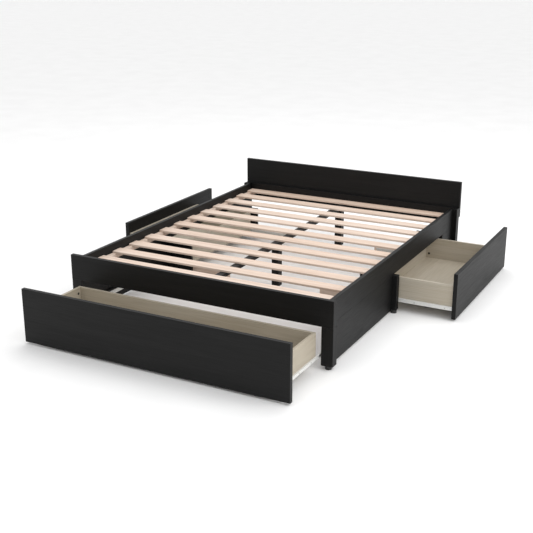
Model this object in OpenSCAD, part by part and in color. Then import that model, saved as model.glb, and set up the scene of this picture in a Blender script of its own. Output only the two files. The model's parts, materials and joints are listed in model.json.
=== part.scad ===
// Platform bed with three storage drawers, shown with the drawers pulled out.
// Millimetres. +Z is up, -Y is the foot end, and the origin is on the floor under the middle centre leg.

/* [Frame] */
// Width of the footboard and the headboard
bed_w = 1610; // [1200:10:1960]
// From the front of the footboard to the front of the headboard
frame_l = 2050; // [1950:10:2480]
// Height of the footboard's top edge
footboard_top = 373; // [360:1:450]
// Height of the side rails' top edge
rail_top = 355; // [335:1:420]
// Height of the headboard's top edge
headboard_top = 528; // [450:1:900]
// Height of the headboard's lower edge
headboard_bottom = 290; // [60:1:300]
// Height of the drawer openings, which is the underside of the rails
opening_top = 229; // [225:1:260]
// Thickness of the footboard
footboard_t = 25; // [18:1:34]
// Thickness of the headboard
headboard_t = 24; // [18:1:34]
// Thickness of the side rails and the back rail
rail_t = 22; // [18:1:28]
// How far a side rail's outer face is set in from the bed's side
rail_inset = 31; // [26:1:36]
// Thickness of the lower side panels and the partitions
panel_t = 18; // [12:1:22]
// Gap between the lower side panels and the floor
panel_lift = 14; // [8:1:40]

/* [Legs] */
// Width of a foot corner leg
leg_w = 65; // [60:1:90]
// Depth of a foot corner leg, footboard included
leg_d = 50; // [45:1:80]
// From the footboard's front to the near face of the middle posts
mid_post_y = 892; // [740:1:1000]
// Depth of a middle post
mid_post_d = 36; // [30:1:44]
// Depth of a head post
head_post_d = 51; // [44:1:70]
// Width of the middle posts and the head posts
post_w = 38; // [32:1:44]
// Width of the square centre legs
centre_leg_w = 48; // [36:1:60]
// From the footboard's front to the middle centre leg
mid_leg_y = 960; // [940:1:1200]
// From the footboard's front to the centre leg near the head
head_leg_y = 1911; // [1500:1:1920]
// Height of the round glides under the legs
glide_h = 22; // [8:1:30]
// Radius of the round glides
glide_r = 17; // [12:0.5:18]

/* [Slats and beam] */
// Number of slats
slat_n = 12; // [9:1:15]
// Width of a slat
slat_w = 76; // [50:1:96]
// Thickness of a slat
slat_t = 12; // [10:1:20]
// How far the slats' tops lie below the rails' top edges
slat_drop = 41; // [30:1:60]
// From the footboard's back to the first slat
first_slat_gap = 123; // [10:1:140]
// From the last slat to the back rail
last_slat_gap = 5; // [3:1:60]
// Gap between a slat's end and the side rail
slat_end_gap = 3; // [1:0.5:8]
// Width of the slat ledges
ledge_w = 25; // [18:1:40]
// Height of the slat ledges
ledge_h = 28; // [18:1:50]
// Width of the centre beam
beam_w = 40; // [30:1:60]
// Height of the centre beam
beam_h = 22; // [15:1:66]

/* [Drawer fronts] */
// Thickness of the drawer fronts
front_t = 24; // [16:1:30]
// Gap between the drawer fronts and the floor
floor_gap = 12; // [8:1:30]
// Height of the foot drawer's front
foot_front_h = 300; // [230:1:340]
// Height of the side drawers' fronts
side_front_h = 270; // [230:1:320]
// How far the foot drawer's front stops short of the bed's side
foot_front_inset = 19; // [4:1:40]
// Gap between a side drawer's front and the post at each end of it
side_front_gap = 3; // [2:0.5:8]
// Gap between a closed front and the frame behind it
front_buffer = 1; // [0.5:0.5:4]
// How far the foot drawer is pulled out
foot_open = 411; // [0:1:414]
// How far the right drawer is pulled out
right_open = 346; // [0:1:404]
// How far the left drawer is pulled out
left_open = 306; // [0:1:404]

/* [Drawer boxes] */
// Thickness of the box walls
box_t = 15; // [12:1:18]
// Height of the box walls
box_h = 150; // [90:1:156]
// Height of the walls' lower edges above the floor
box_z = 60; // [58:1:70]
// Thickness of the drawer bottoms
box_bottom_t = 6; // [3:0.5:12]
// From the walls' lower edges to the underside of the bottoms
box_bottom_rise = 10; // [6:1:20]
// Front-to-back length of the foot drawer's box
foot_box_l = 378; // [250:1:460]
// Front-to-back length of the side drawers' boxes
side_box_l = 450; // [250:1:450]
// Width of the side drawers' boxes, along the bed
side_box_w = 835; // [500:1:1000]

/* [Runners] */
// Length of the foot drawer's runners
foot_runner_l = 460; // [460:5:600]
// Length of the side drawers' runners
side_runner_l = 450; // [450:5:520]
// Gap between a box wall and the face that carries the fixed runner
runner_gap = 13; // [12.5:0.1:14]
// Thickness of the runners' steel
runner_t = 1.2; // [1:0.1:1.5]
// Radius of the rollers
roller_r = 8; // [7:0.1:8.2]
// Width of the rollers
roller_w = 6.5; // [5:0.1:7]
// Gap between a roller and the flanges it runs between
roller_gap = 0.4; // [0.2:0.1:0.6]

/* [Hidden] */
SLAT_NAMES = [for (i = [1 : slat_n]) str("slat_", i < 10 ? "0" : "", i)];
DRAWER_PARTS = ["front", "box_sides", "box_front", "box_back", "bottom", "runners", "rollers"];
DRAWERS = ["foot", "right", "left"];
DRAWER_NAMES = [for (d = DRAWERS) for (p = DRAWER_PARTS) str(d, "_drawer_", p)];
FRAME_NAMES = [
    "footboard", "foot_leg_l", "foot_leg_r", "side_rail_l", "side_rail_r", "side_panel_l",
    "side_panel_r", "mid_post_l", "mid_post_r", "head_post_l", "head_post_r", "back_rail",
    "headboard", "slat_ledge_l", "slat_ledge_r", "centre_beam", "centre_leg_mid",
    "centre_leg_head", "mid_partitions", "head_partitions", "foot_battens", "side_battens",
    "floor_glides",
    "fixed_runners", "fixed_rollers", "corner_brackets", "bracket_bolts"
];
$fn = 40;

// Stations across and along the bed
side_x = bed_w / 2;
rail_x = side_x - rail_inset;
rail_in_x = rail_x - rail_t;
foot_y = -mid_leg_y;
head_y = foot_y + frame_l;
mid_near_y = foot_y + mid_post_y;
mid_far_y = mid_near_y + mid_post_d;
head_near_y = head_y - head_post_d;
back_rail_y = head_y - rail_t;
leg_in_x = side_x - leg_w;

// Heights
slat_top = rail_top - slat_drop;
slat_z = slat_top - slat_t;
beam_z = slat_z - beam_h;

// Slats share out the length between the end gaps
slat_y0 = foot_y + footboard_t + first_slat_gap;
slat_pitch = (back_rail_y - last_slat_gap - slat_w - slat_y0) / (slat_n - 1);

// Runner section, measured outwards from a box wall and upwards from the roller's centre
roller_z = box_z + 12;
channel_in_h = roller_r + roller_gap;
channel_out_h = channel_in_h + runner_t;
lip_z = channel_out_h + 1;
web_drop = 13;
lip_w = 9;
channel_depth = 9;
roller_off = 3.5;
fixed_roller_y = 10;
channel_start = 22;
back_roller_inset = 14;
axle_r = 2.5;
flange_w = 12;
fixed_roller_rise = lip_z - roller_r - roller_gap;

// Drawer openings, between the faces that carry the fixed runners
foot_carrier_x = leg_in_x;
foot_box_w = 2 * (foot_carrier_x - runner_gap);
side_mouth_w = head_near_y - mid_far_y;
side_box_y = mid_far_y + runner_gap + side_box_w / 2;
side_carrier_y = mid_far_y + side_box_w + 2 * runner_gap;
foot_front_w = bed_w - 2 * foot_front_inset;
side_front_w = side_mouth_w - 2 * side_front_gap;
side_front_shift = (head_near_y + mid_far_y) / 2 - side_box_y;

partition_l = 180;
batten_over = 10;
batten_h = 60;
batten_low = box_z - batten_h / 2;
batten_high = box_z + batten_h / 2;
edge_r = 2;
bracket_w = 30;
bracket_leg = head_post_d - rail_t - 1;
bracket_t = 2.5;
bolt_r = 3;
bolt_head_r = 5;
bolt_head_h = 3;

black = "#262524";
black_side = "#33312f";
birch = "#efe0cf";
beige = "#c9c1b1";
white_steel = "#dcdcda";
plastic = "#2b2b2b";

// A square-edged board between two corners
module board(low, high) {
    size = high - low;
    translate(low) cube(size);
}

// A board between two corners, whose four edges along X, Y or Z are rounded
module eased(low, high, along, r = edge_r) {
    size = high - low;
    translate(low)
        if (along == "x")
            multmatrix([[0, 0, 1, 0], [1, 0, 0, 0], [0, 1, 0, 0], [0, 0, 0, 1]])
                rounded_prism(size.y, size.z, size.x, r);
        else if (along == "y")
            multmatrix([[0, 1, 0, 0], [0, 0, 1, 0], [1, 0, 0, 0], [0, 0, 0, 1]])
                rounded_prism(size.z, size.x, size.y, r);
        else
            rounded_prism(size.x, size.y, size.z, r);
}

// A prism along Z with rounded vertical edges
module rounded_prism(a, b, h, r) {
    linear_extrude(h)
        union() {
            translate([r, 0]) square([a - 2 * r, b]);
            translate([0, r]) square([a, b - 2 * r]);
            for (x = [r, a - r])
                for (y = [r, b - r])
                    translate([x, y]) circle(r);
        }
}

// Puts the children on one side of the bed: 1 is right, -1 is left
module on_side(s) {
    mirror([s < 0 ? 1 : 0, 0, 0]) children();
}

// ---- Frame ----

module footboard() {
    color(black)
        eased([-side_x, foot_y, opening_top], [side_x, foot_y + footboard_t, footboard_top], "x");
}

// The leg is flush with the footboard below it, and stands behind it above
module foot_leg(s) {
    color(black) on_side(s) {
        eased([leg_in_x, foot_y, glide_h], [side_x, foot_y + leg_d, opening_top], "z");
        board([rail_in_x, foot_y + footboard_t, opening_top],
              [side_x - edge_r, foot_y + leg_d, rail_top]);
    }
}

module side_rail(s) {
    color(black_side) on_side(s)
        eased([rail_in_x, foot_y + leg_d, opening_top], [rail_x, head_near_y, rail_top], "y");
}

module side_panel(s) {
    color(black_side) on_side(s)
        board([rail_x - panel_t, foot_y + leg_d, panel_lift], [rail_x, mid_near_y, opening_top]);
}

// The post stands under the rail, with its face flush with the legs
module mid_post(s) {
    color(black) on_side(s)
        eased([side_x - post_w, mid_near_y, glide_h], [side_x, mid_far_y, opening_top], "z");
}

module head_post(s) {
    color(black) on_side(s)
        eased([side_x - post_w, head_near_y, glide_h], [side_x, head_y, rail_top], "z");
}

module back_rail() {
    color(black_side)
        board([-side_x + post_w, back_rail_y, opening_top], [side_x - post_w, head_y, rail_top]);
}

module headboard() {
    color(black)
        eased([-side_x, head_y, headboard_bottom], [side_x, head_y + headboard_t, headboard_top], "x");
}

module slat_ledge(s) {
    color(beige) on_side(s)
        board([rail_in_x - ledge_w, foot_y + leg_d, slat_z - ledge_h],
              [rail_in_x, back_rail_y, slat_z]);
}

module centre_beam() {
    color(black_side)
        board([-beam_w / 2, foot_y + footboard_t, beam_z], [beam_w / 2, back_rail_y, slat_z]);
}

module centre_leg(y) {
    color(black)
        eased([-centre_leg_w / 2, y - centre_leg_w / 2, glide_h],
              [centre_leg_w / 2, y + centre_leg_w / 2, beam_z], "z");
}

module slat(i) {
    y = slat_y0 + (i - 1) * slat_pitch;
    half = rail_in_x - slat_end_gap;
    color(birch) eased([-half, y, slat_z], [half, y + slat_w, slat_top], "x");
}

// A short upright panel on each side, from y to y + panel_t, under the rails
module partitions(y, out_x) {
    color(black_side)
        for (s = [-1, 1])
            on_side(s)
                board([out_x - partition_l, y, panel_lift], [out_x, y + panel_t, opening_top]);
}

module mid_partitions() {
    partitions(mid_far_y - 2 * panel_t, rail_x - panel_t);
}

module head_partitions() {
    y = side_carrier_y + panel_t;
    partitions(y, rail_x);
    color(black_side)
        for (s = [-1, 1])
            on_side(s)
                board([rail_x - panel_t, y + panel_t, panel_lift], [rail_x, head_near_y, opening_top]);
}

// The battens inside the lower side panels, which carry the foot drawer's fixed runners
module foot_battens() {
    color(black_side)
        for (s = [-1, 1])
            on_side(s)
                board([leg_in_x, foot_y + leg_d, batten_low],
                      [rail_x - panel_t, foot_y + foot_runner_l + batten_over, batten_high]);
}

// The battens beside the side drawers, which carry their fixed runners
module side_battens() {
    in_x = rail_x - side_runner_l - batten_over;
    post_x = side_x - post_w;
    far = side_carrier_y + panel_t;
    color(birch)
        for (s = [-1, 1])
            on_side(s) {
                board([in_x, mid_far_y - panel_t, batten_low], [post_x, mid_far_y, batten_high]);
                board([in_x, side_carrier_y, batten_low], [rail_x, far, batten_high]);
            }
}

module glide(x, y) {
    translate([x, y, 0]) {
        cylinder(h = glide_h - 4, r = glide_r);
        translate([0, 0, glide_h - 4]) cylinder(h = 4, r = glide_r * 0.8);
    }
}

module floor_glides() {
    color(plastic) {
        for (s = [-1, 1]) {
            glide(s * (side_x - leg_w / 2), foot_y + leg_d / 2);
            glide(s * (side_x - post_w / 2), mid_near_y + mid_post_d / 2);
            glide(s * (side_x - post_w / 2), head_near_y + head_post_d / 2);
        }
        for (y = [0, head_leg_y - mid_leg_y]) glide(0, y);
    }
}

// An L of steel in the corner between a rail and a cross board, with its corner at the origin
module corner_bracket() {
    difference() {
        union() {
            translate([-bracket_t, 0, 0]) cube([bracket_t, bracket_leg, bracket_w]);
            translate([-bracket_leg, 0, 0]) cube([bracket_leg, bracket_t, bracket_w]);
        }
        bracket_bores() cylinder(h = 3 * bracket_t, r = bolt_r + 0.3, center = true);
    }
}

// The bracket's two holes, with the children's +Z pointing out of the plate
module bracket_bores() {
    mid = bracket_leg * 0.6;
    translate([-bracket_t / 2, mid, bracket_w / 2]) rotate([0, -90, 0]) children();
    translate([-mid, bracket_t / 2, bracket_w / 2]) rotate([-90, 0, 0]) children();
}

// The four inside corners of the frame, under the slats
module at_corners() {
    z = slat_z - ledge_h - bracket_w;
    for (s = [-1, 1])
        on_side(s) {
            translate([rail_in_x, foot_y + footboard_t, z]) children();
            translate([side_x - post_w, back_rail_y, z]) mirror([0, 1, 0]) children();
        }
}

module corner_brackets() {
    color(white_steel) at_corners() corner_bracket();
}

module bracket_bolts() {
    color("#9a9a98")
        at_corners()
            bracket_bores() {
                translate([0, 0, bracket_t / 2]) cylinder(h = bolt_head_h, r = bolt_head_r);
            }
}

// ---- Runners ----

// Carries children from the drawer's own frame to the bed. In that frame the drawer's closed
// box starts at y = 0 and runs towards +y, x is across the drawer, and z is the bed's height.
module place_drawer(d, open) {
    turn = d == "foot" ? 0 : (d == "right" ? 90 : -90);
    at = d == "foot" ? [0, foot_y - front_buffer - open]
        : (d == "right" ? [rail_x + front_buffer + open, side_box_y]
                        : [-rail_x - front_buffer - open, side_box_y]);
    translate([at.x, at.y, 0]) rotate([0, 0, turn]) children();
}

function box_w(d) = d == "foot" ? foot_box_w : side_box_w;
function box_l(d) = d == "foot" ? foot_box_l : side_box_l;
function runner_l(d) = d == "foot" ? foot_runner_l : side_runner_l;
function opened(d) = d == "foot" ? foot_open : (d == "right" ? right_open : left_open);

// Both sides of a drawer, mirrored about its middle
module both_sides() {
    for (m = [0, 1]) mirror([m, 0, 0]) children();
}

// The fixed channel on the carrier face, open towards the drawer, with a tab ahead of it
module fixed_runner(d) {
    face = box_w(d) / 2 + runner_gap;
    far = runner_l(d) - 4;
    near = front_buffer + channel_start;
    z = roller_z;
    both_sides() {
        board([face - runner_t, front_buffer + 2, z - channel_out_h], [face, far, z + channel_out_h]);
        board([face - channel_depth, near, z - channel_out_h], [face, far, z - channel_in_h]);
        board([face - channel_depth, near, z + channel_in_h], [face, far, z + channel_out_h]);
    }
}

module fixed_runners() {
    color(white_steel)
        for (d = DRAWERS) place_drawer(d, 0) fixed_runner(d);
}

// A roller on a short axle, turning about X, from x inwards to the axle's root
module roller(x_in, x_root) {
    rotate([0, 90, 0]) {
        translate([0, 0, x_in]) cylinder(h = roller_w, r = roller_r);
        translate([0, 0, min(x_in, x_root)]) cylinder(h = abs(x_root - x_in), r = axle_r);
    }
}

module fixed_rollers() {
    color(plastic)
        for (d = DRAWERS)
            place_drawer(d, 0)
                both_sides()
                    translate([0, front_buffer + fixed_roller_y, roller_z + fixed_roller_rise]) {
                        face = box_w(d) / 2 + runner_gap - runner_t;
                        roller(face - roller_w - 0.8, face);
                    }
}

// ---- Drawers ----

module drawer_front(d) {
    w = d == "foot" ? foot_front_w : side_front_w;
    h = d == "foot" ? foot_front_h : side_front_h;
    shift = d == "foot" ? 0 : (d == "right" ? side_front_shift : -side_front_shift);
    color(black)
        place_drawer(d, opened(d))
            eased([shift - w / 2, -front_t, floor_gap], [shift + w / 2, 0, floor_gap + h], "x");
}

module drawer_box_sides(d) {
    x = box_w(d) / 2;
    color(beige)
        place_drawer(d, opened(d))
            both_sides()
                board([x - box_t, 0, box_z], [x, box_l(d), box_z + box_h]);
}

module drawer_box_end(d, y) {
    x = box_w(d) / 2 - box_t;
    color(beige)
        place_drawer(d, opened(d)) board([-x, y, box_z], [x, y + box_t, box_z + box_h]);
}

module drawer_bottom(d) {
    x = box_w(d) / 2 - box_t;
    z = box_z + box_bottom_rise;
    color(beige)
        place_drawer(d, opened(d))
            board([-x, box_t, z], [x, box_l(d) - box_t, z + box_bottom_t]);
}

// The sliding member wraps the wall's lower edge, and its lip rides on the fixed roller
module drawer_runners(d) {
    x = box_w(d) / 2;
    l = runner_l(d);
    z = roller_z;
    color(white_steel)
        place_drawer(d, opened(d))
            both_sides() {
                board([x - flange_w, 0, box_z - runner_t], [x + runner_t, l, box_z]);
                board([x, 0, z - web_drop], [x + runner_t, l, z + lip_z + runner_t]);
                board([x, 0, z + lip_z], [x + lip_w, l, z + lip_z + runner_t]);
            }
}

module drawer_rollers(d) {
    x = box_w(d) / 2 + runner_t;
    color(plastic)
        place_drawer(d, opened(d))
            both_sides()
                translate([0, runner_l(d) - back_roller_inset, roller_z])
                    roller(x + roller_off, x);
}

module drawer(d, part) {
    if (part == "front") drawer_front(d);
    if (part == "box_sides") drawer_box_sides(d);
    if (part == "box_front") drawer_box_end(d, 0);
    if (part == "box_back") drawer_box_end(d, box_l(d) - box_t);
    if (part == "bottom") drawer_bottom(d);
    if (part == "runners") drawer_runners(d);
    if (part == "rollers") drawer_rollers(d);
}

footboard();
foot_leg(-1);  // foot_leg_l
foot_leg(1);  // foot_leg_r
side_rail(-1);  // side_rail_l
side_rail(1);  // side_rail_r
side_panel(-1);  // side_panel_l
side_panel(1);  // side_panel_r
mid_post(-1);  // mid_post_l
mid_post(1);  // mid_post_r
head_post(-1);  // head_post_l
head_post(1);  // head_post_r
back_rail();
headboard();
slat_ledge(-1);  // slat_ledge_l
slat_ledge(1);  // slat_ledge_r
centre_beam();
centre_leg(0);  // centre_leg_mid
centre_leg(head_leg_y - mid_leg_y);  // centre_leg_head
mid_partitions();
head_partitions();
foot_battens();
side_battens();
floor_glides();
fixed_runners();
fixed_rollers();
corner_brackets();
bracket_bolts();
for (i = [1 : slat_n])
    slat(i);
for (d = DRAWERS)
    for (p = DRAWER_PARTS)
        drawer(d, p);
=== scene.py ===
"""Platform bed with three storage drawers: finishes, small fittings, floor, light and camera."""
import json
import math

import bmesh
import bpy
from mathutils import Matrix, Vector


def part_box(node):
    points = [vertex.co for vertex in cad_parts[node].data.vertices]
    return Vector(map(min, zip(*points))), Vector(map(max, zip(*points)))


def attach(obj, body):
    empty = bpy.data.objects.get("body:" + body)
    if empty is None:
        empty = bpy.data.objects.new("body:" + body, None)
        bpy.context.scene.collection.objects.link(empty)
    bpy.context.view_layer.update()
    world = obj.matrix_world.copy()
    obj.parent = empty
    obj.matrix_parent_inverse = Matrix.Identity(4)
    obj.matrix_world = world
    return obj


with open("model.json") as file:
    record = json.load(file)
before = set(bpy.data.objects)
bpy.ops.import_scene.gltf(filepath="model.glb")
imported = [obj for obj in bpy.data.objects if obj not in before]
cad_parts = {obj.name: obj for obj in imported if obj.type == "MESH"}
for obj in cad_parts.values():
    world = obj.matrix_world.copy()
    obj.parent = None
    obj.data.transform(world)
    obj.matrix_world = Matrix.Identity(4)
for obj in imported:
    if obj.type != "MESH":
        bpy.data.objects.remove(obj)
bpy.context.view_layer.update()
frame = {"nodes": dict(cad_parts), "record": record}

MM = 0.001
GRAIN_AXES = {"x": 0, "y": 1, "z": 2}
DRAWERS = {"foot": "foot_drawer", "right": "right_drawer", "left": "left_drawer"}


# ---- Colour and node helpers ----

def srgb(hex_text):
    """An sRGB hex colour as linear RGBA."""
    out = []
    for i in (1, 3, 5):
        c = int(hex_text[i:i + 2], 16) / 255
        out.append(c / 12.92 if c <= 0.04045 else ((c + 0.055) / 1.055) ** 2.4)
    return (*out, 1.0)


def add(tree, kind, settings=None, **links):
    """Adds a node, sets its properties and its sockets, and links the sockets that are given one."""
    node = tree.nodes.new(kind)
    for key, value in (settings or {}).items():
        setattr(node, key, value)
    for key, value in links.items():
        place = int(key[1:]) if key[1:].isdigit() else key.replace("_", " ")
        socket = node.inputs[place]
        if isinstance(value, bpy.types.NodeSocket):
            tree.links.new(value, socket)
        else:
            socket.default_value = value
    return node


def ramp(tree, fac, stops):
    """A colour ramp from (place, colour) stops."""
    node = add(tree, "ShaderNodeValToRGB", Fac=fac)
    marks = node.color_ramp.elements
    while len(marks) < len(stops):
        marks.new(0.5)
    for mark, (place, colour) in zip(marks, stops):
        mark.position, mark.color = place, colour
    return node.outputs["Color"]


def mix(tree, fac, a, b, blend="MIX"):
    """Colour a turning to colour b by fac."""
    node = add(tree, "ShaderNodeMix", {"data_type": "RGBA", "blend_type": blend})
    for name, value in (("Factor_Float", fac), ("A_Color", a), ("B_Color", b)):
        socket = next(s for s in node.inputs if s.identifier == name)
        if isinstance(value, bpy.types.NodeSocket):
            tree.links.new(value, socket)
        else:
            socket.default_value = value
    return next(s for s in node.outputs if s.identifier == "Result_Color")


def new_material(name):
    """An empty material with its Principled shader."""
    mat = bpy.data.materials.new(name)
    mat.use_nodes = True
    return mat, mat.node_tree, mat.node_tree.nodes["Principled BSDF"]


def grain_coordinates(tree, axis, along, across):
    """Object coordinates stretched along the grain: one pattern unit is `along` m by `across` m."""
    scale = [1 / across] * 3
    scale[GRAIN_AXES[axis]] = 1 / along
    place = add(tree, "ShaderNodeTexCoord").outputs["Object"]
    return add(tree, "ShaderNodeMapping", Vector=place, Scale=scale).outputs["Vector"]


def painted_edge_highlight(tree, radius):
    """Mask of a painted edge highlight: 1 on an eased edge and 0 on a flat face."""
    soft = add(tree, "ShaderNodeBevel", {"samples": 4}, Radius=radius).outputs["Normal"]
    flat = add(tree, "ShaderNodeNewGeometry").outputs["Normal"]
    dot = add(tree, "ShaderNodeVectorMath", {"operation": "DOT_PRODUCT"}, _0=soft, _1=flat)
    return add(tree, "ShaderNodeMapRange", Value=dot.outputs["Value"], From_Min=0.995,
               From_Max=0.86, To_Min=0.0, To_Max=1.0).outputs["Result"]


# ---- Finishes ----

def stained_ash(axis):
    """Ash veneer, stained black-brown and lacquered satin: open pores show as fine dull streaks."""
    mat, tree, shader = new_material("stained_ash_" + axis)
    # real pores are 0.3 mm wide and too fine to show, so they are drawn 3 mm apart
    pores = add(tree, "ShaderNodeTexNoise", Vector=grain_coordinates(tree, axis, 0.16, 0.003),
                Scale=1.0, Detail=4.0, Roughness=0.65, Distortion=0.15).outputs["Fac"]
    figure = add(tree, "ShaderNodeTexNoise", Vector=grain_coordinates(tree, axis, 0.9, 0.045),
                 Scale=1.0, Detail=3.0, Roughness=0.5, Distortion=0.9).outputs["Fac"]
    wood = ramp(tree, figure, [(0.32, srgb("#060606")), (0.5, srgb("#0a0a0a")), (0.7, srgb("#0f0f0f"))])
    dark = ramp(tree, pores, [(0.34, srgb("#6a6a6a")), (0.56, srgb("#ffffff"))])
    face = mix(tree, 0.62, wood, dark, "MULTIPLY")
    # painted highlight: the eased edges are mixed towards a lighter grey than the stained face
    edge = painted_edge_highlight(tree, 1.6 * MM)
    colour = mix(tree, edge, face, srgb("#2c2b2a"))
    tree.links.new(colour, shader.inputs["Base Color"])
    rough = add(tree, "ShaderNodeMapRange", Value=pores, From_Min=0.3, From_Max=0.7,
                To_Min=0.60, To_Max=0.46)
    tree.links.new(rough.outputs["Result"], shader.inputs["Roughness"])
    shape = add(tree, "ShaderNodeBevel", {"samples": 4}, Radius=1.2 * MM).outputs["Normal"]
    bump = add(tree, "ShaderNodeBump", Strength=0.28, Distance=0.4 * MM, Height=pores, Normal=shape)
    tree.links.new(bump.outputs["Normal"], shader.inputs["Normal"])
    shader.inputs["IOR"].default_value = 1.48
    shader.inputs["Specular IOR Level"].default_value = 0.26
    return mat


def planed_birch():
    """Birch, planed and left bare: pale, matt, with soft brown figure that differs between slats."""
    mat, tree, shader = new_material("planed_birch")
    figure = add(tree, "ShaderNodeTexNoise", Vector=grain_coordinates(tree, "x", 0.5, 0.016),
                 Scale=1.0, Detail=5.0, Roughness=0.6, Distortion=0.7).outputs["Fac"]
    board = add(tree, "ShaderNodeTexNoise", Vector=grain_coordinates(tree, "x", 6.0, 0.16),
                Scale=1.0, Detail=1.0).outputs["Fac"]
    fibre = add(tree, "ShaderNodeTexNoise", Vector=grain_coordinates(tree, "x", 0.12, 0.0025),
                Scale=1.0, Detail=3.0, Roughness=0.7).outputs["Fac"]
    wood = ramp(tree, figure, [(0.3, srgb("#cdb8a8")), (0.5, srgb("#dccabc")), (0.72, srgb("#e6d7cb"))])
    tint = ramp(tree, board, [(0.35, srgb("#f3e9e0")), (0.65, srgb("#ffffff"))])
    lines = ramp(tree, fibre, [(0.35, srgb("#e6dad0")), (0.6, srgb("#ffffff"))])
    toned = mix(tree, 0.7, wood, tint, "MULTIPLY")
    face = mix(tree, 0.45, toned, lines, "MULTIPLY")
    # painted highlight: the eased edges are mixed towards a lighter beige
    colour = mix(tree, painted_edge_highlight(tree, 1.2 * MM), face, srgb("#dccbbd"))
    tree.links.new(colour, shader.inputs["Base Color"])
    shader.inputs["Roughness"].default_value = 0.62
    bump = add(tree, "ShaderNodeBump", Strength=0.25, Distance=0.3 * MM, Height=fibre)
    tree.links.new(bump.outputs["Normal"], shader.inputs["Normal"])
    return mat


def foiled_board(axis):
    """Particle board wrapped in beige printed foil: matt, with a faint even grain, and crisp edges
    brightened by a painted highlight.
    """
    mat, tree, shader = new_material("foiled_board_" + axis)
    grain = add(tree, "ShaderNodeTexNoise", Vector=grain_coordinates(tree, axis, 0.22, 0.005),
                Scale=1.0, Detail=4.0, Roughness=0.6, Distortion=0.3).outputs["Fac"]
    cloud = add(tree, "ShaderNodeTexNoise", Vector=grain_coordinates(tree, axis, 0.7, 0.09),
                Scale=1.0, Detail=2.0, Distortion=0.6).outputs["Fac"]
    foil = ramp(tree, grain, [(0.30, srgb("#a79e8f")), (0.52, srgb("#b3ab9c")), (0.78, srgb("#bcb4a6"))])
    tone = ramp(tree, cloud, [(0.3, srgb("#e6dfd2")), (0.7, srgb("#ffffff"))])
    face = mix(tree, 0.5, foil, tone, "MULTIPLY")
    # painted highlight: the eased edges are mixed towards a lighter beige
    colour = mix(tree, painted_edge_highlight(tree, 1.0 * MM), face, srgb("#d0c8ba"))
    tree.links.new(colour, shader.inputs["Base Color"])
    shader.inputs["Roughness"].default_value = 0.5
    bump = add(tree, "ShaderNodeBump", Strength=0.12, Distance=0.2 * MM, Height=grain)
    tree.links.new(bump.outputs["Normal"], shader.inputs["Normal"])
    return mat


def coated_steel():
    """Mild steel with a white epoxy powder coat: slight orange peel, and a painted highlight that makes
    the edges brighter.
    """
    mat, tree, shader = new_material("powder_coated_steel")
    place = add(tree, "ShaderNodeTexCoord").outputs["Object"]
    peel = add(tree, "ShaderNodeTexNoise", Vector=place, Scale=420.0, Detail=2.0).outputs["Fac"]
    tone = ramp(tree, peel, [(0.3, srgb("#d3d3d0")), (0.7, srgb("#e6e6e3"))])
    # painted highlight: the eased edges are mixed towards a brighter white
    colour = mix(tree, painted_edge_highlight(tree, 0.5 * MM), tone, srgb("#f4f4f2"))
    tree.links.new(colour, shader.inputs["Base Color"])
    shader.inputs["Roughness"].default_value = 0.34
    bump = add(tree, "ShaderNodeBump", Strength=0.15, Distance=0.1 * MM, Height=peel)
    tree.links.new(bump.outputs["Normal"], shader.inputs["Normal"])
    return mat


def zinc_plated_steel():
    """Pressed steel, zinc plated: a bright grey metal with faint cloudy blotches."""
    mat, tree, shader = new_material("zinc_plated_steel")
    place = add(tree, "ShaderNodeTexCoord").outputs["Object"]
    cloud = add(tree, "ShaderNodeTexNoise", Vector=place, Scale=90.0, Detail=4.0).outputs["Fac"]
    colour = ramp(tree, cloud, [(0.3, srgb("#a9a9a6")), (0.7, srgb("#c8c8c4"))])
    tree.links.new(colour, shader.inputs["Base Color"])
    rough = add(tree, "ShaderNodeMapRange", Value=cloud, To_Min=0.28, To_Max=0.48)
    tree.links.new(rough.outputs["Result"], shader.inputs["Roughness"])
    shader.inputs["Metallic"].default_value = 1.0
    return mat


def moulded_nylon():
    """Dark nylon, injection moulded: a fine spark texture and a dull sheen."""
    mat, tree, shader = new_material("moulded_nylon")
    place = add(tree, "ShaderNodeTexCoord").outputs["Object"]
    spark = add(tree, "ShaderNodeTexNoise", Vector=place, Scale=900.0, Detail=2.0).outputs["Fac"]
    colour = ramp(tree, spark, [(0.35, srgb("#1b1b1b")), (0.7, srgb("#2b2b2a"))])
    tree.links.new(colour, shader.inputs["Base Color"])
    shader.inputs["Roughness"].default_value = 0.5
    bump = add(tree, "ShaderNodeBump", Strength=0.2, Distance=0.1 * MM, Height=spark)
    tree.links.new(bump.outputs["Normal"], shader.inputs["Normal"])
    return mat


ASH = {axis: stained_ash(axis) for axis in GRAIN_AXES}
FOIL = {axis: foiled_board(axis) for axis in GRAIN_AXES}
BIRCH = planed_birch()
STEEL = coated_steel()
ZINC = zinc_plated_steel()
NYLON = moulded_nylon()


def long_axis(node):
    """The axis that the grain of a board follows: its longest side."""
    low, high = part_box(node)
    size = high - low
    if node in ("mid_partitions", "head_partitions"):
        return "x"
    if node.endswith("box_sides"):
        return "y" if node.startswith("foot") else "x"
    return max(GRAIN_AXES, key=lambda a: size[GRAIN_AXES[a]])


SLOT_OF = {row["node"]: row["material_slot"] for row in frame["record"]["subparts"]}


def finish_of(node):
    """The material of a CAD node, from its slot in the record."""
    slot = SLOT_OF[node]
    if slot == "black_wood":
        return ASH[long_axis(node)]
    if slot == "box_board":
        return FOIL[long_axis(node)]
    return {"slat_wood": BIRCH, "runner_steel": STEEL, "bracket_steel": ZINC, "plastic": NYLON}[slot]


for name, node in frame["nodes"].items():
    node.data.materials.clear()
    node.data.materials.append(finish_of(name))


# ---- Small fittings ----

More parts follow.
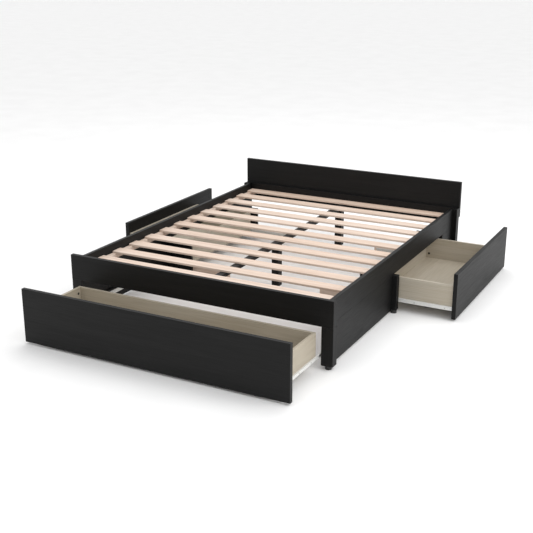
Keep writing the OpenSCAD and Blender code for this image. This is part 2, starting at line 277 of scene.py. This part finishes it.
UP = Vector((0, 0, 1))
CAM_R, CAM_H = 7.5 * MM, 1.2 * MM
CAM_SETBACK = 34 * MM
CAM_HEIGHTS = (0.3, 0.78)
SCREW_R, SCREW_H = 3.6 * MM, 1.4 * MM
SCREW_SIDES = 16
SCREW_PLACES = (0.1, 0.5, 0.86)
SCREW_RISE = 8 * MM
RUNNER_T = 1.2 * MM
# shares of a fitting's height or radius: its eased rim, and its sunk middle
RIM_SHARE = 0.35
RECESS_SHARE = 0.45


def as_piece(shape, name, body, material):
    """Makes a finished object of a bmesh and lets it ride on a body."""
    bmesh.ops.recalc_face_normals(shape, faces=shape.faces)
    mesh = bpy.data.meshes.new(name)
    shape.to_mesh(mesh)
    shape.free()
    piece = bpy.data.objects.new(name, mesh)
    bpy.context.scene.collection.objects.link(piece)
    mesh.materials.append(material)
    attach(piece, body)
    return piece


def sunk_head(shape, place, radius, height, sides=24):
    """A round fitting with an eased rim and a sunk middle, standing along +Z of `place`."""
    before = set(shape.verts)
    disc = bmesh.ops.create_circle(shape, cap_ends=True, segments=sides, radius=radius)
    base = list({f for v in disc["verts"] for f in v.link_faces})
    raised = bmesh.ops.extrude_face_region(shape, geom=base)["geom"]
    top = [v for v in raised if isinstance(v, bmesh.types.BMVert)]
    bmesh.ops.translate(shape, verts=top, vec=(0, 0, height))
    rim = [e for e in {e for v in top for e in v.link_edges} if all(v in top for v in e.verts)]
    bmesh.ops.bevel(shape, geom=rim, offset=height * RIM_SHARE, offset_type="OFFSET", segments=2,
                    profile=0.5, affect="EDGES", material=-1)
    made = (f for f in shape.faces if f.verts[0] not in before)
    lid = max(made, key=lambda f: f.calc_center_median().z)
    bmesh.ops.inset_region(shape, faces=[lid], thickness=radius * RECESS_SHARE,
                           depth=-height * RECESS_SHARE)
    fresh = [v for v in shape.verts if v not in before]
    bmesh.ops.transform(shape, matrix=place, verts=fresh)


def facing(point, normal):
    """A frame at a point with its +Z along a normal."""
    turn = Vector((0, 0, 1)).rotation_difference(Vector(normal)).to_matrix().to_4x4()
    return Matrix.Translation(point) @ turn


def drawer_axes(which):
    """Unit vectors of a drawer: out of the bed, and across the drawer."""
    out = Vector({"foot": (0, -1, 0), "right": (1, 0, 0), "left": (-1, 0, 0)}[which])
    return out, Vector((out.y, -out.x, 0))


def span(node, direction):
    """A node's lowest and highest place along a direction."""
    low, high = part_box(node)
    ends = (low.dot(direction), high.dot(direction))
    return min(ends), max(ends)


def cam_fittings(which):
    """The cams in a drawer's side walls that draw its front and its back tight."""
    body = DRAWERS[which]
    out, across = drawer_axes(which)
    sides, ends = f"{which}_drawer_box_sides", f"{which}_drawer_box_front"
    far, near = span(sides, out)
    inner = span(ends, across)
    low, high = span(sides, UP)
    shape = bmesh.new()
    for wall, inward in ((inner[0], across), (inner[1], -across)):
        for place in (near - CAM_SETBACK, far + CAM_SETBACK):
            for rise in CAM_HEIGHTS:
                spot = across * wall + out * place + UP * (low + (high - low) * rise)
                sunk_head(shape, facing(spot, inward), CAM_R, CAM_H)
    return as_piece(shape, f"{which}_drawer_cams", body, NYLON)


def runner_screws(which):
    """The screws that hold the sliding runners to the drawer's side walls."""
    body = DRAWERS[which]
    out, across = drawer_axes(which)
    sides = f"{which}_drawer_box_sides"
    walls = span(sides, across)
    far, near = span(sides, out)
    height = span(sides, UP)[0] + SCREW_RISE
    shape = bmesh.new()
    for wall, outward in ((walls[0] - RUNNER_T, -across), (walls[1] + RUNNER_T, across)):
        for share in SCREW_PLACES:
            spot = across * wall + out * (near + (far - near) * share) + UP * height
            sunk_head(shape, facing(spot, outward), SCREW_R, SCREW_H, SCREW_SIDES)
    return as_piece(shape, f"{which}_drawer_screws", body, ZINC)


for drawer_name in DRAWERS:
    cam_fittings(drawer_name)
    runner_screws(drawer_name)


# ---- Floor, light and camera ----

FLOOR_HALF = 120
SURROUND = 0.97
LIGHT_TARGET = (0, 0, 0.2)
KEY_PLACE, KEY_SIZE, KEY_WATTS = (4.5, -0.5, 3.6), 3.0, 105
TOP_PLACE, TOP_SIZE, TOP_WATTS = (-0.5, 1.5, 4.5), 4.0, 60
CAMERA_PLACE = (2.557, -4.990, 2.030)
CAMERA_AZIMUTH, CAMERA_ELEVATION = math.radians(27.78), math.radians(18.61)
LENS, SENSOR = 65.07, 36.0
CLIP_END = 400


def studio_floor():
    """A white floor that reaches nearly to the horizon."""
    mat, tree, shader = new_material("painted_studio_floor")
    place = add(tree, "ShaderNodeTexCoord").outputs["Object"]
    cloud = add(tree, "ShaderNodeTexNoise", Vector=place, Scale=3.0, Detail=3.0).outputs["Fac"]
    tree.links.new(ramp(tree, cloud, [(0.3, srgb("#f6f6f6")), (0.7, srgb("#fafafa"))]),
                   shader.inputs["Base Color"])
    shader.inputs["Roughness"].default_value = 0.75
    shader.inputs["Specular IOR Level"].default_value = 0.2
    shape = bmesh.new()
    bmesh.ops.create_grid(shape, x_segments=1, y_segments=1, size=FLOOR_HALF)
    mesh = bpy.data.meshes.new("studio_floor")
    shape.to_mesh(mesh)
    shape.free()
    mesh.materials.append(mat)
    floor = bpy.data.objects.new("studio_floor", mesh)
    bpy.context.scene.collection.objects.link(floor)


def soft_box(name, place, target, size, watts):
    """A square area light aimed at a point."""
    light = bpy.data.lights.new(name, "AREA")
    light.shape, light.size, light.energy = "SQUARE", size, watts
    lamp = bpy.data.objects.new(name, light)
    lamp.location = place
    lamp.rotation_euler = (Vector(target) - Vector(place)).to_track_quat("-Z", "Y").to_euler()
    bpy.context.scene.collection.objects.link(lamp)


def studio_light():
    """An even white surround, with a large soft box high on the right and a weaker one at the back."""
    world = bpy.data.worlds.new("studio")
    world.use_nodes = True
    shade = world.node_tree.nodes["Background"]
    shade.inputs["Color"].default_value = (1, 1, 1, 1)
    shade.inputs["Strength"].default_value = SURROUND
    bpy.context.scene.world = world
    soft_box("key_light", KEY_PLACE, LIGHT_TARGET, KEY_SIZE, KEY_WATTS)
    soft_box("top_light", TOP_PLACE, LIGHT_TARGET, TOP_SIZE, TOP_WATTS)


def camera():
    """A long lens from the foot end, to the right and above."""
    data = bpy.data.cameras.new("camera")
    data.lens, data.sensor_width = LENS, SENSOR
    data.clip_end = CLIP_END
    body = bpy.data.objects.new("camera", data)
    body.location = CAMERA_PLACE
    body.rotation_euler = (math.pi / 2 - CAMERA_ELEVATION, 0, CAMERA_AZIMUTH)
    bpy.context.scene.collection.objects.link(body)
    bpy.context.scene.camera = body


studio_floor()
studio_light()
camera()
bpy.context.scene.view_settings.view_transform = "Standard"
